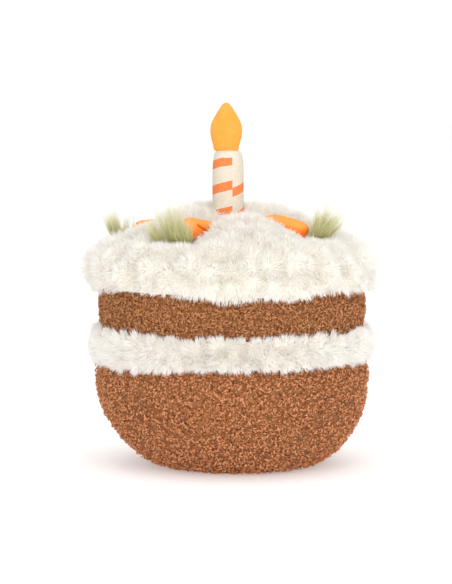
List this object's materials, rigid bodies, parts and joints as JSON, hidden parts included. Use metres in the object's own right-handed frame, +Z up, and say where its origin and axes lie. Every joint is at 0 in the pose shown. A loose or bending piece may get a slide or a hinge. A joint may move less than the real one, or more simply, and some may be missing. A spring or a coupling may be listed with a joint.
{
  "type": "plush toy carrot cake",
  "caption": "Stuffed toy carrot cake: round curly sponges, fleecy cream filling and icing, a ring of small carrots, and a striped cloth candle with its flame on top.",
  "frame": {"origin": "on the flat foot under the lower sponge, on the axis of the two sponges", "axes": "+Z up along the candle; -Y towards the side with the candle's seam and the nearest carrot"},
  "size_m": [0.1311, 0.1306, 0.16],
  "materials": {
    "sponge_lower": "curly brown pile cloth",
    "sponge_upper": "curly brown pile cloth",
    "cream_filling": "shaggy cream pile",
    "cream_icing": "shaggy cream pile",
    "candle": "printed cloth, cream with orange stripes",
    "candle_flame": "short brushed felt",
    "carrot": "short brushed suede cloth",
    "carrot_leaves": "long green pile, paler at its tips"
  },
  "bodies": {
    "root": {"sponge_lower": "sponge_lower", "cream_filling": "cream_filling", "sponge_upper": "sponge_upper", "cream_icing": "cream_icing", "candle": "candle", "candle_flame": "candle_flame", "carrot_1": "carrot", "carrot_2": "carrot", "carrot_3": "carrot", "carrot_4": "carrot", "carrot_leaves_1": "carrot_leaves", "carrot_leaves_2": "carrot_leaves", "carrot_leaves_3": "carrot_leaves", "carrot_leaves_4": "carrot_leaves"}
  },
  "joints": []
}
